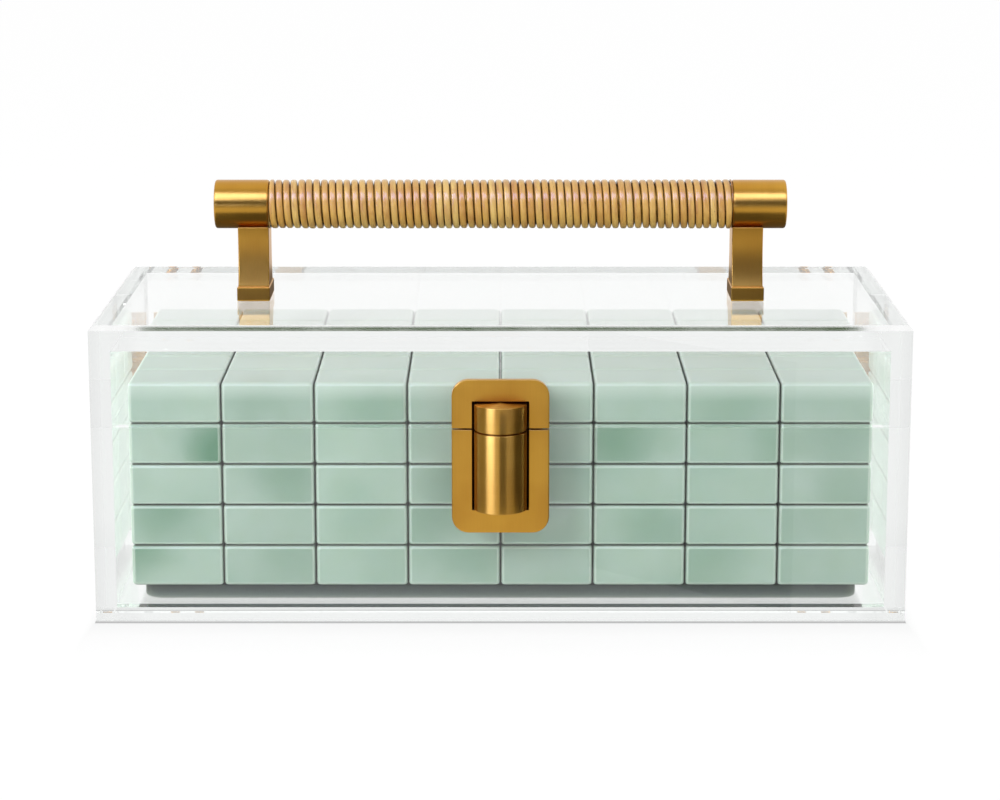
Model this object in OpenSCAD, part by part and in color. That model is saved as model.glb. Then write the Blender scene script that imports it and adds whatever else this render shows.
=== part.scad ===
// Clear acrylic mahjong case. A box holds 160 blank stone tiles under a deep hinged lid. The lid
// carries a brass handle wrapped with cane, and a turning barrel latch closes it in front.
// Millimetres. +Z is up, the front faces -Y, and the origin is the centre of the footprint on
// the surface that the case stands on.

/* [Tiles] */
// Tiles in a row, side by side
tile_columns = 8; // [4:1:10]
// Tiles from front to back
tile_rows = 4; // [2:1:5]
// Width of a tile
tile_w = 30.05; // [26:0.05:34]
// Depth of a tile, front to back
tile_d = 21.95; // [18:0.05:26]
// Height of a tile as it lies in the stack
tile_h = 13.6; // [11:0.1:16]
// Radius of a tile's rounded edges
tile_edge_r = 1.5; // [0.5:0.1:3]
// Free play between neighbouring tiles
tile_play = 0.1; // [0.05:0.01:0.4]

/* [Case] */
// Thickness of the front, back and side walls
wall_t = 6.4; // [5:0.1:9]
// Thickness of the base plate under the walls
floor_t = 4.7; // [3:0.1:9]
// Thickness of the felt pad under the tiles
pad_t = 4.8; // [1:0.1:6]
// How far the pad's front and back edges stay inside the tile block
pad_inset_d = 2.2; // [0:0.1:8]
// How far the pad's ends stay inside the tile block
pad_inset_w = 3.5; // [0:0.5:20]
// Corner radius of the pad
pad_corner_r = 6; // [2:0.5:12]
// Space between the tile block and each side wall
side_gap = 4.55; // [2:0.05:12]
// Space between the tile block and the front wall
front_gap = 4.5; // [4:0.1:12]
// Space between the tile block and the back wall
back_gap = 8.7; // [3:0.1:14]
// Space between the tile block and the lid's top plate
headroom = 11.1; // [8:0.1:30]
// Thickness of the lid's top plate
lid_top_t = 9.1; // [5:0.1:12]
// Height of the lid from its rim to its top
lid_h = 33.2; // [28:0.5:45]
// Gap between the lid's rim and the base's rim
rim_gap = 0.2; // [0.1:0.05:0.6]
// Bevel along the upper edges of the lid's top plate
lid_bevel = 1.6; // [0.3:0.1:2]
// Bevel along the lower edges of the base plate
base_bevel = 0.3; // [0.1:0.1:1.5]

/* [Handle] */
// Distance between the centres of the two posts
post_spacing = 164.4; // [120:1:200]
// How far the handle stands in front of the lid's middle
handle_forward = 3.5; // [0:0.5:10]
// Height of the bar's axis above the lid
bar_height = 31.3; // [26:0.1:45]
// Width of a post, along the bar
post_w = 10.3; // [7:0.1:14]
// Depth of a post at its waist
post_waist_d = 11; // [8:0.1:14]
// How far a post may flare out at each side above and below its waist
post_flare = 2.5; // [1:0.1:3]
// How far a post's shoulders reach up beside the end cap that it carries
post_shoulder_h = 1.1; // [0.6:0.1:3]
// Radius of the hollow curve down each post's front and back
post_curve_r = 37; // [30:1:80]
// Depth of a post's foot, front to back
foot_d = 19.3; // [17:0.1:26]
// Width of a post's foot, along the bar
foot_w = 10.9; // [10.5:0.1:16]
// Height of a post's foot
foot_h = 4.7; // [2:0.1:8]
// Radius of a brass end cap
cap_r = 8.1; // [7.5:0.1:10]
// Length of a brass end cap
cap_len = 18; // [13:0.5:26]
// How far an end cap reaches past its post, towards the middle
cap_reach_in = 0; // [0:0.1:2]
// Radius of the rod inside the handle
rod_r = 6.2; // [4:0.1:6.4]
// How far the rod enters each cap
rod_entry = 12; // [6:0.5:12.5]

/* [Cane winding] */
// Turns of cane on the handle
cane_turns = 60; // [20:1:61]
// Width of the cane strip, along the handle
cane_w = 2; // [1.2:0.05:2]
// Thickness of the cane strip at its crown
cane_t = 1.3; // [0.8:0.05:2]
// Radius of the handle over the cane
wrap_r = 8.3; // [8:0.05:9]
// Gap between each end cap and the first turn of cane
wrap_end_gap = 2.1; // [1.5:0.1:4]

/* [Latch] */
// Width of the latch plates
latch_w = 31.3; // [29:0.1:40]
// Height of the upper plate above the parting line
latch_up = 16.2; // [13:0.1:19]
// Height of the lower plate below the parting line
latch_down = 34.1; // [30:0.1:45]
// Corner radius of the latch plates
latch_corner_r = 5.4; // [2.5:0.1:7]
// Thickness of the latch plates in front of the wall
latch_plate_t = 2.5; // [1.5:0.1:3.5]
// Gap between the two latch plates
latch_split = 0.5; // [0.2:0.05:0.8]
// Thickness of the backing plates inside the wall
latch_back_t = 1.2; // [0.8:0.1:1.6]
// How far the backing plates' edges stay inside those of the latch plates
latch_back_margin = 2; // [0.5:0.1:2]
// Distance from a latch plate's edges to the centres of its screws
latch_screw_edge = 4.4; // [4:0.1:4.8]
// Width of the window around the barrel
window_w = 18; // [17.4:0.1:22]
// Height of the window above the parting line
window_up = 9.1; // [8.6:0.1:11]
// Depth of the window below the parting line
window_down = 26.4; // [25:0.1:29]
// Radius of the barrel
barrel_r = 8.45; // [7.5:0.05:8.6]
// How far the barrel's axis stands in front of the plates
barrel_forward = 0.5; // [0:0.1:2]
// Wall thickness of the turning barrel
barrel_wall = 2.1; // [1.5:0.1:2.5]
// Thickness of the turning barrel's floor and of its top
barrel_end_t = 4; // [3:0.1:5]
// Gap between the fixed barrel and the turning barrel
barrel_split = 0.5; // [0.2:0.05:0.6]
// Radius of the spindle that the barrel turns on
spindle_r = 2; // [1.5:0.1:2.5]
// Radial clearance of the barrel on its spindle
running_fit = 0.05; // [0.02:0.01:0.09]
// Width of the arm that holds the spindle
arm_w = 5; // [4.4:0.1:6]
// Height of that arm
arm_h = 5; // [3:0.1:7]
// Angle that the barrel turns through
latch_turn = 60; // [30:5:60]
// Length of the catch's crossbar
catch_len = 8; // [6:0.1:10]
// Width and thickness of the catch's crossbar
catch_t = 2.4; // [1.6:0.1:3]
// Free space round the catch
catch_play = 0.6; // [0.4:0.05:1]

/* [Hinges] */
// Distance from the case's side to the middle of the nearer hinge
hinge_inset = 16.8; // [14:0.2:60]
// Length of a hinge
hinge_len = 18; // [16:1:26]
// Height of a hinge leaf, from the pin's axis to its edge
leaf_h = 9; // [7:0.5:14]
// Thickness of a hinge leaf
leaf_t = 1.2; // [0.8:0.1:1.6]
// Outside radius of a hinge knuckle
knuckle_r = 2.3; // [2:0.1:3]
// Radius of a hinge pin
pin_r = 1.1; // [0.8:0.05:1.4]
// Gap between neighbouring knuckles
knuckle_gap = 0.3; // [0.2:0.05:0.6]

/* [Small screws] */
// Radius of the hinge and latch screws
screw_r = 1.25; // [1:0.05:1.5]
// Radius of their heads
screw_head_r = 2.3; // [2:0.1:2.8]
// Height of their heads
screw_head_h = 1.3; // [0.8:0.1:1.6]
// Clearance round a screw in its hole
screw_clearance = 0.1; // [0.05:0.01:0.2]
// Depth of a screw hole that does not go through its wall
blind_depth = 4.8; // [3:0.1:5]
// Distance from a hinge leaf's edge to the centres of its screws
leaf_screw_edge = 3.4; // [3:0.1:4]

/* [Hidden] */
$fn = 64;
little = 0.01;

// The tile block, and the box built round it
tile_layers = 5;
pitch_w = tile_w + tile_play;
pitch_d = tile_d + tile_play;
block_w = tile_columns * pitch_w - tile_play;
block_d = tile_rows * pitch_d - tile_play;
inner_w = block_w + 2 * side_gap;
inner_d = block_d + front_gap + back_gap;
case_w = inner_w + 2 * wall_t;
case_d = inner_d + 2 * wall_t;
tiles_z = floor_t + pad_t;
tiles_top_z = tiles_z + tile_layers * tile_h;
lid_ceiling_z = tiles_top_z + headroom;
case_h = lid_ceiling_z + lid_top_t;
parting_z = case_h - lid_h;
lid_rim_z = parting_z + rim_gap;
rim_mid_z = parting_z + rim_gap / 2;
front_y = -case_d / 2;
back_y = case_d / 2;
inner_front_y = front_y + wall_t;
block_front_y = inner_front_y + front_gap;
block_centre_y = block_front_y + block_d / 2;

// The handle
handle_y = -handle_forward;
post_x = post_spacing / 2;
bar_z = case_h + bar_height;
cap_in_x = post_x - post_w / 2 - cap_reach_in;
cap_edge_r = 0.8;

// The cane: one strip, half round in section, wound as a helix with straight ends
cane_sides = 6;
cane_steps = 8;
cane_lead_x = cap_in_x - wrap_end_gap - cane_w / 2;
cane_pitch = 2 * cane_lead_x / cane_turns;
cane_seat_r = wrap_r - cane_t;

// The latch
plate_face_y = front_y - latch_plate_t;
barrel_y = plate_face_y - barrel_forward;
window_top_z = parting_z + window_up;
window_foot_z = parting_z - window_down;
barrel_foot_gap = 0.4;
barrel_foot_z = window_foot_z + barrel_foot_gap;
barrel_top_z = window_top_z - barrel_foot_gap;
barrel_split_z = parting_z - barrel_split / 2;
barrel_floor_z = barrel_foot_z + barrel_end_t;
barrel_roof_z = barrel_split_z - barrel_end_t;
barrel_hollow_r = barrel_r - barrel_wall;
arm_z = barrel_floor_z + barrel_foot_gap;
arm_top_z = arm_z + arm_h;
arm_side_angle = asin((arm_w / 2 + screw_head_r / 4) / barrel_hollow_r);
spindle_over_arm = 1;
spindle_top_z = arm_top_z + spindle_over_arm;
catch_z = barrel_roof_z - 2 * catch_t;
latch_screw_x = latch_w / 2 - latch_screw_edge;
latch_back_w = latch_w - 2 * latch_back_margin;
latch_screw_top_z = parting_z + latch_up - latch_screw_edge;
latch_screw_mid_z = parting_z - latch_screw_edge;
latch_screw_low_z = parting_z - latch_down + latch_screw_edge;
back_way = 90;

// The hinges
hinge_x = case_w / 2 - hinge_inset;
hinge_z = rim_mid_z;
hinge_y = back_y + knuckle_r;
leaf_clear = 0.25;
knuckle_len = (hinge_len - 2 * knuckle_gap) / 3;
hinge_screw_x = hinge_len / 2 - 2 * screw_head_r;
hinge_screw_z = leaf_h - leaf_screw_edge;

acrylic = [0.86, 0.93, 0.91, 0.3];
brass = [0.78, 0.58, 0.24];
dark_brass = [0.55, 0.38, 0.14];
jade = [0.66, 0.77, 0.70];
cane_tan = [0.80, 0.58, 0.30];
felt = [0.30, 0.35, 0.29];

// ---- Shapes used by several pieces ----

// A rectangle with round corners, centred on the origin
module rounded_rect(w, h, r) {
    square([w - 2 * r, h], center = true);
    square([w, h - 2 * r], center = true);
    for (x = [-1, 1], y = [-1, 1])
        translate([x * (w / 2 - r), y * (h / 2 - r)]) circle(r);
}

// Turns a flat outline drawn in X and Z into a plate that runs from y0 to y1
module plate_xz(y0, y1) {
    translate([0, y1, 0]) rotate([90, 0, 0]) linear_extrude(y1 - y0) children();
}

// Turns a flat outline drawn in Y and Z into a bar that runs from x0 to x1
module bar_yz(x0, x1) {
    translate([x0, 0, 0]) rotate([90, 0, 90]) linear_extrude(x1 - x0) children();
}

// The outline of a plate with the two corners at its far height bevelled
module bevelled_outline(w, h, bevel) {
    polygon([[-w / 2, 0], [w / 2, 0], [w / 2, h - bevel], [w / 2 - bevel, h],
             [-w / 2 + bevel, h], [-w / 2, h - bevel]]);
}

// A plate over the whole footprint, bevelled along its upper edges
module bevelled_plate(t, bevel) {
    intersection() {
        plate_xz(front_y, back_y) bevelled_outline(case_w, t, bevel);
        bar_yz(-case_w / 2, case_w / 2) bevelled_outline(case_d, t, bevel);
    }
}

// A round bar along Y from y0 to y1
module rod_y(r, y0, y1) {
    translate([0, y1, 0]) rotate([90, 0, 0]) cylinder(r = r, h = y1 - y0);
}

// A round bar along X from x0 to x1
module rod_x(r, x0, x1) {
    translate([x0, 0, 0]) rotate([0, 90, 0]) cylinder(r = r, h = x1 - x0);
}

// ---- The clear box ----

module base_floor() {
    color(acrylic)
        translate([0, 0, floor_t]) mirror([0, 0, 1]) bevelled_plate(floor_t, base_bevel);
}

// The space of the window in the front walls, which the latch goes through
module latch_window(y0, y1) {
    plate_xz(y0, y1)
        translate([-window_w / 2, window_foot_z]) square([window_w, window_top_z - window_foot_z]);
}

// The screw holes of the latch through the front walls
module latch_screw_holes(z_list, y0, y1) {
    for (x = [-1, 1], z = z_list)
        translate([x * latch_screw_x, 0, z]) rod_y(screw_r + screw_clearance, y0, y1);
}

module base_front_wall() {
    color(acrylic) difference() {
        translate([-case_w / 2, front_y, floor_t]) cube([case_w, wall_t, parting_z - floor_t]);
        latch_window(front_y - little, inner_front_y + little);
        latch_screw_holes([latch_screw_mid_z, latch_screw_low_z],
                          front_y - little, inner_front_y + little);
    }
}

module lid_front_wall() {
    color(acrylic) difference() {
        translate([-case_w / 2, front_y, lid_rim_z]) cube([case_w, wall_t, lid_ceiling_z - lid_rim_z]);
        latch_window(front_y - little, inner_front_y + little);
        latch_screw_holes([latch_screw_top_z], front_y - little, inner_front_y + little);
    }
}

// The blind screw holes of the hinges, all in one row at height z
module hinge_screw_holes(z) {
    for (hinge = [-1, 1], side = [-1, 1])
        translate([hinge * hinge_x + side * hinge_screw_x, 0, z])
            rod_y(screw_r, back_y - blind_depth, back_y + little);
}

module base_back_wall() {
    color(acrylic) difference() {
        translate([-case_w / 2, back_y - wall_t, floor_t]) cube([case_w, wall_t, parting_z - floor_t]);
        hinge_screw_holes(hinge_z - hinge_screw_z);
    }
}

module lid_back_wall() {
    color(acrylic) difference() {
        translate([-case_w / 2, back_y - wall_t, lid_rim_z])
            cube([case_w, wall_t, lid_ceiling_z - lid_rim_z]);
        hinge_screw_holes(hinge_z + hinge_screw_z);
    }
}

// A side wall between the front and back walls: side is -1 at the left and 1 at the right
module side_wall(side, z0, z1) {
    color(acrylic)
        translate([side * (case_w - wall_t) / 2 - wall_t / 2, inner_front_y, z0])
            cube([wall_t, inner_d, z1 - z0]);
}

module lid_top() {
    color(acrylic)
        translate([0, 0, lid_ceiling_z]) bevelled_plate(lid_top_t, lid_bevel);
}

// ---- What the box holds ----

module tile_pad() {
    color(felt)
        translate([0, block_centre_y, floor_t])
            linear_extrude(pad_t)
                rounded_rect(block_w - 2 * pad_inset_w, block_d - 2 * pad_inset_d, pad_corner_r);
}

// One plain tile, its corner at the origin, rounded along all its edges
module tile() {
    translate([tile_w / 2, tile_d / 2, tile_h / 2]) intersection() {
        translate([0, 0, -tile_h / 2]) linear_extrude(tile_h) rounded_rect(tile_w, tile_d, tile_edge_r);
        plate_xz(-tile_d / 2, tile_d / 2) rounded_rect(tile_w, tile_h, tile_edge_r);
        bar_yz(-tile_w / 2, tile_w / 2) rounded_rect(tile_d, tile_h, tile_edge_r);
    }
}

// One layer of the block, counted from 1 at the bottom
module tile_layer(layer) {
    color(jade)
        for (column = [0 : tile_columns - 1], row = [0 : tile_rows - 1])
            translate([column * pitch_w - block_w / 2,
                       block_front_y + row * pitch_d,
                       tiles_z + (layer - 1) * tile_h])
                tile();
}

// ---- The handle ----

// The outline of a post's column from the side: hollow in front and behind, with flat shoulders.
// It starts halfway up the foot
module post_outline() {
    column_d = post_waist_d + 2 * post_flare;
    start_z = case_h + foot_h / 2;
    shoulder_z = bar_z - cap_r + post_shoulder_h;
    difference() {
        translate([-column_d / 2, start_z]) square([column_d, shoulder_z - start_z]);
        for (side = [-1, 1])
            translate([side * (post_waist_d / 2 + post_curve_r), bar_z - cap_r - post_waist_d / 2])
                circle(post_curve_r, $fn = 128);
    }
}

module handle_post(side) {
    color(brass) difference() {
        translate([side * post_x, handle_y, 0]) {
            bar_yz(-post_w / 2, post_w / 2) post_outline();
            translate([-foot_w / 2, -foot_d / 2, case_h]) cube([foot_w, foot_d, foot_h]);
        }
        translate([0, handle_y, bar_z])
            rod_x(cap_r, side * post_x - post_w, side * post_x + post_w);
    }
}

// An end cap: a closed brass ferrule with rounded rims, open towards the rod
module handle_cap(side) {
    out_x = cap_in_x + cap_len;
    color(brass)
        translate([0, handle_y, bar_z]) rotate([0, side * 90, 0])
            translate([0, 0, cap_in_x]) rotate_extrude() difference() {
                union() {
                    square([cap_r - cap_edge_r, cap_len]);
                    translate([0, cap_edge_r]) square([cap_r, cap_len - 2 * cap_edge_r]);
                    for (z = [cap_edge_r, cap_len - cap_edge_r])
                        translate([cap_r - cap_edge_r, z]) circle(cap_edge_r);
                }
                translate([0, -little]) square([rod_r, rod_entry + little]);
            }
}

module handle_rod() {
    color(dark_brass)
        translate([0, handle_y, bar_z]) rod_x(rod_r, -cap_in_x - rod_entry, cap_in_x + rod_entry);
}

// The middle of the cane strip at step i: the helix, with the last point carried straight on
// along the handle to the end cap's face
cane_count = cane_turns * cane_steps;
function cane_angle(i) = 360 * min(max(i, 0), cane_count) / cane_steps;
function cane_x(i) =
    i < 0 ? -cane_lead_x + i * (cap_in_x - cane_lead_x) / 2
    : i > cane_count ? cane_lead_x + (i - cane_count) * (cap_in_x - cane_lead_x) / 2
    : -cane_lead_x + i * cane_pitch / cane_steps;
function cane_is_end(i) = i < 0 || i > cane_count;

// The section of the strip: flat against the rod and crowned outside, as [across, out] pairs
cane_section = [for (k = [0 : cane_sides - 1])
    let (a = 180 * k / (cane_sides - 1))
    [cane_w / 2 * cos(a), cane_t * sin(a)]];

// The corner k of the section at step i. Across is along the handle on the helix, and round the
// handle where the end runs straight
function cane_point(i, k) =
    let (a = cane_angle(i), across = cane_section[k][0], r = cane_seat_r + cane_section[k][1])
    cane_is_end(i)
        ? [cane_x(i), r * cos(a) + across * sin(a), r * sin(a) - across * cos(a)]
        : [cane_x(i) + across, r * cos(a), r * sin(a)];

// The least distance between a turn's points and those of the next turn
function cane_least_gap() =
    min([for (i = [0 : cane_steps], k = [0 : cane_sides - 1], m = [0 : cane_sides - 1])
        norm(cane_point(i, k) - cane_point(i + cane_steps, m))]);

module cane_wrap() {
    first = -2;
    last = cane_count + 2;
    ring = cane_sides;
    points = [for (i = [first : last], k = [0 : ring - 1]) cane_point(i, k)];
    rings = last - first;
    sides = [for (i = [0 : rings - 1], k = [0 : ring - 1], half = [0, 1])
        let (a = i * ring + k, b = i * ring + (k + 1) % ring)
        half == 0 ? [a, b + ring, b] : [a, a + ring, b + ring]];
    start_face = [for (k = [1 : ring - 2]) [0, k, k + 1]];
    end_face = [for (k = [1 : ring - 2]) [rings * ring, rings * ring + k + 1, rings * ring + k]];
    echo(cane_least_gap = cane_least_gap());
    color(cane_tan)
        translate([0, handle_y, bar_z])
            polyhedron(points = points, faces = concat(sides, start_face, end_face), convexity = 10);
}

// ---- The latch ----

// The outline of both latch plates together, window included
module latch_outline(w, corner_r) {
    translate([0, parting_z + (latch_up - latch_down) / 2])
        rounded_rect(w, latch_up + latch_down - (latch_w - w), corner_r);
}

// One half of the latch outline between two heights, without the window
module latch_plate_half(w, z0, z1, y0, y1) {
    difference() {
        plate_xz(y0, y1) intersection() {
            latch_outline(w, latch_corner_r - (latch_w - w) / 2);
            translate([-w, z0]) square([2 * w, z1 - z0]);
        }
        latch_window(y0 - little, y1 + little);
    }
}

// A block behind a latch plate's half that closes the window again
module latch_bridge(z0, z1, y0, y1) {
    plate_xz(y0, y1) translate([-window_w / 2, z0]) square([window_w, z1 - z0]);
}

module latch_lower_plate() {
    z0 = parting_z - latch_down;
    color(brass) difference() {
        latch_plate_half(latch_w, z0, rim_mid_z - latch_split / 2, plate_face_y, front_y);
        latch_tapped_holes([latch_screw_mid_z, latch_screw_low_z]);
    }
}

module latch_upper_plate() {
    color(brass) difference() {
        latch_plate_half(latch_w, rim_mid_z + latch_split / 2, parting_z + latch_up,
                         plate_face_y, front_y);
        latch_tapped_holes([latch_screw_top_z]);
    }
}

// The blind holes in the back of the front plates that the latch screws end in
module latch_tapped_holes(z_list) {
    for (x = [-1, 1], z = z_list)
        translate([x * latch_screw_x, 0, z])
            rod_y(screw_r, front_y - latch_plate_t * 0.7, front_y + little);
}

module latch_lower_backing() {
    back0 = inner_front_y;
    back1 = inner_front_y + latch_back_t;
    color(brass) difference() {
        union() {
            latch_plate_half(latch_back_w, parting_z - latch_down, parting_z, back0, back1);
            latch_bridge(window_foot_z, parting_z, back0, back1);
            translate([-arm_w / 2, barrel_y, arm_z]) cube([arm_w, back0 - barrel_y, arm_h]);
            translate([0, barrel_y, arm_z]) cylinder(r = arm_w / 2, h = arm_h);
        }
        translate([0, barrel_y, arm_z - little]) cylinder(r = spindle_r, h = arm_h + 2 * little);
        latch_screw_holes([latch_screw_mid_z, latch_screw_low_z], back0 - little, back1 + little);
    }
}

module latch_upper_backing() {
    back0 = inner_front_y;
    back1 = inner_front_y + latch_back_t;
    color(brass) difference() {
        union() {
            latch_plate_half(latch_back_w, lid_rim_z, parting_z + latch_up, back0, back1);
            latch_bridge(lid_rim_z, window_top_z, back0, back1);
        }
        latch_screw_holes([latch_screw_top_z], back0 - little, back1 + little);
    }
}

module latch_spindle() {
    color(dark_brass)
        translate([0, barrel_y, barrel_foot_z]) cylinder(r = spindle_r, h = spindle_top_z - barrel_foot_z);
}

// The turning barrel: a hollow drum with a floor that runs on the spindle, a slot behind for
// the arm, and a keyhole in its top that the catch drops through
module latch_barrel() {
    slot_from = back_way - latch_turn - arm_side_angle;
    slot_to = back_way + arm_side_angle;
    color(brass) translate([0, barrel_y, 0]) difference() {
        translate([0, 0, barrel_foot_z]) rotate_extrude() difference() {
            square([barrel_r, barrel_split_z - barrel_foot_z]);
            translate([0, barrel_end_t]) square([barrel_hollow_r, barrel_roof_z - barrel_floor_z]);
            translate([0, -little]) square([spindle_r + running_fit, barrel_end_t + 2 * little]);
        }
        translate([0, 0, barrel_floor_z])
            linear_extrude(arm_h + 2 * barrel_foot_gap)
                polygon(concat([[0, 0]],
                    [for (s = [0 : 4]) let (a = slot_from + s * (slot_to - slot_from) / 4)
                        [2 * barrel_r * cos(a), 2 * barrel_r * sin(a)]]));
        translate([-catch_len / 2 - catch_play, -catch_t / 2 - catch_play, barrel_roof_z - little])
            cube([catch_len + 2 * catch_play, catch_t + 2 * catch_play, barrel_end_t + 2 * little]);
    }
}

// The upper barrel, fixed to the lid by a block that reaches through the wall
module latch_fixed_barrel() {
    z0 = barrel_split_z + barrel_split;
    block_w = barrel_r;
    color(brass) translate([0, 0, z0]) {
        translate([0, barrel_y, 0]) cylinder(r = barrel_r, h = barrel_top_z - z0);
        translate([-block_w / 2, barrel_y, 0])
            cube([block_w, inner_front_y - barrel_y, barrel_top_z - z0]);
    }
}

// The catch: a stem with a crossbar under the fixed barrel
module latch_catch() {
    stem_r = catch_t / 2;
    z0 = barrel_split_z + barrel_split;
    color(dark_brass) translate([0, barrel_y, 0]) {
        translate([0, 0, catch_z + catch_t / 2]) cylinder(r = stem_r, h = z0 - catch_z - catch_t / 2);
        translate([-catch_len / 2, -catch_t / 2, catch_z]) cube([catch_len, catch_t, catch_t]);
    }
}

// Screws that go in from inside the box, heads on the backing plates
module latch_screws(z_list) {
    head_y = inner_front_y + latch_back_t;
    color(brass)
        for (x = [-1, 1], z = z_list) translate([x * latch_screw_x, 0, z]) {
            rod_y(screw_r, front_y - latch_plate_t * 0.6, head_y);
            rod_y(screw_head_r, head_y, head_y + screw_head_h);
        }
}

// ---- The hinges ----

// One leaf on the back wall: way is -1 for the base's leaf and 1 for the lid's
module hinge_leaf(side, way) {
    color(brass) translate([side * hinge_x, 0, hinge_z]) difference() {
        union() {
            translate([-hinge_len / 2, back_y, way > 0 ? leaf_clear : -leaf_h])
                cube([hinge_len, leaf_t, leaf_h - leaf_clear]);
            knuckles(way);
        }
        for (x = [-1, 1])
            translate([x * hinge_screw_x, 0, way * hinge_screw_z])
                rod_y(screw_r + screw_clearance, back_y - little, back_y + leaf_t + little);
        translate([0, hinge_y, 0])
            rod_x(way > 0 ? pin_r + running_fit : pin_r, -hinge_len, hinge_len);
        other_knuckle_space(way);
    }
}

// The spans along a hinge of the knuckles that belong to a leaf, as [from, to]
function knuckle_spans(way) =
    let (half = hinge_len / 2, mid = knuckle_len / 2)
    way > 0 ? [[-mid, mid]] : [[-half, -mid - knuckle_gap], [mid + knuckle_gap, half]];

module knuckles(way) {
    for (span = knuckle_spans(way)) {
        translate([0, hinge_y, 0]) rod_x(knuckle_r, span[0], span[1]);
        translate([span[0], back_y, way > 0 ? 0 : -knuckle_r])
            cube([span[1] - span[0], leaf_t, knuckle_r]);
    }
}

// The room that a leaf leaves for the other leaf's knuckles as they turn
module other_knuckle_space(way) {
    for (span = knuckle_spans(-way))
        translate([0, hinge_y, 0])
            rod_x(knuckle_r + knuckle_gap, span[0] - knuckle_gap, span[1] + knuckle_gap);
}

module hinge_pin(side) {
    color(dark_brass)
        translate([side * hinge_x, hinge_y, hinge_z]) rod_x(pin_r, -hinge_len / 2, hinge_len / 2);
}

module hinge_screws(way) {
    color(brass)
        for (hinge = [-1, 1], side = [-1, 1])
            translate([hinge * hinge_x + side * hinge_screw_x, 0, hinge_z + way * hinge_screw_z]) {
                rod_y(screw_r, back_y - blind_depth + 0.3, back_y + leaf_t);
                rod_y(screw_head_r, back_y + leaf_t, back_y + leaf_t + screw_head_h / 2);
            }
}

// ---- What is drawn ----

base_floor();
base_front_wall();
base_back_wall();
side_wall(-1, floor_t, parting_z);  // base_left_wall
side_wall(1, floor_t, parting_z);  // base_right_wall
lid_top();
lid_front_wall();
lid_back_wall();
side_wall(-1, lid_rim_z, lid_ceiling_z);  // lid_left_wall
side_wall(1, lid_rim_z, lid_ceiling_z);  // lid_right_wall
tile_pad();
tile_layer(1);  // tile_layer_1
tile_layer(2);  // tile_layer_2
tile_layer(3);  // tile_layer_3
tile_layer(4);  // tile_layer_4
tile_layer(5);  // tile_layer_5
handle_post(-1);  // handle_post_left
handle_post(1);  // handle_post_right
handle_cap(-1);  // handle_cap_left
handle_cap(1);  // handle_cap_right
handle_rod();
cane_wrap();
latch_lower_plate();
latch_upper_plate();
latch_lower_backing();
latch_upper_backing();
latch_spindle();
latch_barrel();
latch_fixed_barrel();
latch_catch();
latch_screws([latch_screw_mid_z, latch_screw_low_z]);  // latch_lower_screws
latch_screws([latch_screw_top_z]);  // latch_upper_screws
hinge_leaf(-1, -1);  // hinge_lower_leaf_left
hinge_leaf(1, -1);  // hinge_lower_leaf_right
hinge_leaf(-1, 1);  // hinge_upper_leaf_left
hinge_leaf(1, 1);  // hinge_upper_leaf_right
hinge_pin(-1);  // hinge_pin_left
hinge_pin(1);  // hinge_pin_right
hinge_screws(-1);  // hinge_lower_screws
hinge_screws(1);  // hinge_upper_screws
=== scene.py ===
import math
import random

import bmesh
import bpy
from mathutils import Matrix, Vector


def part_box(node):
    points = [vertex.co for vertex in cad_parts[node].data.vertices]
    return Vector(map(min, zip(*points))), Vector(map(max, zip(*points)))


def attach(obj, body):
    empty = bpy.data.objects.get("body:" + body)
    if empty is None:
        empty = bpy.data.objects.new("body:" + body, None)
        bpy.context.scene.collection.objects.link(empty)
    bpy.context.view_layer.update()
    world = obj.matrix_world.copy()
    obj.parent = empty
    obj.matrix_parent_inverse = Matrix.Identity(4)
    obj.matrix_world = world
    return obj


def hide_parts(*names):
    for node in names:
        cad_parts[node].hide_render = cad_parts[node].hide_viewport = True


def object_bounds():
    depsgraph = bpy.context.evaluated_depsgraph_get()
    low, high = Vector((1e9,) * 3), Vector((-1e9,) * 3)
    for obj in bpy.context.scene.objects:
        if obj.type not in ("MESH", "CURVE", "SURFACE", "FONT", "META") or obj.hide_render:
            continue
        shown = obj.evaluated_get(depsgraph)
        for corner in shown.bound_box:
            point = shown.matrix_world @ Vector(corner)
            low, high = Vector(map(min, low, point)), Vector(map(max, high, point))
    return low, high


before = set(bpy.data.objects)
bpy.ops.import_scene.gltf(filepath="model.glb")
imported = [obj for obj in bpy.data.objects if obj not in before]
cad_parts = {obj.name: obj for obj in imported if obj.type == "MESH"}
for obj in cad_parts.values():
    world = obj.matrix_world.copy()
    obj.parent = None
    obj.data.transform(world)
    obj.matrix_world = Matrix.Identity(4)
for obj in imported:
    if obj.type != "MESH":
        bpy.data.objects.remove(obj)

CAD_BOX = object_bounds()
MM = 0.001
SKIN = 0.02 * MM            # what a clear face stands back, so that it meets no other face

# Sizes in millimetres, as in the CAD where nothing else is said
TILE_COLUMNS, TILE_ROWS, TILE_LAYERS = 8, 4, 5
TILE_SIZE = (30.05, 21.95, 13.6)
TILE_PLAY = 0.1             # between two tiles
TILE_EDGE = 1.5
PAD_CORNER = 6.0
LID_BEVEL = 1.6
BACK_BEVEL = 0.7            # across the lid's back edge; the CAD has LID_BEVEL there too
BASE_BEVEL = 0.3
SHELL_SEAM = 0.04           # between the base's walls and its plate, in the looks alone
RIM_CREEP = 0.08            # how far each clear rim reaches into the gap between lid and base
CAP_EDGE = 0.8
CANE_TURNS = 61             # the CAD has 60
CANE_THICKNESS = 1.5        # 1.3 in the CAD
CANE_END_PLAY = 0.05        # between the winding and each cap
CANE_SKIN = 0.06            # how far the winding stays under the CAD's
CANE_LEAST_WIDTH = 0.04     # of the wedge at each end
CANE_UNDERSIDE = 0.1        # below the strip's edges
POST_WIDTH = 10.3
POST_WAIST = 11.0
POST_CURVE = 37.0
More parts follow.
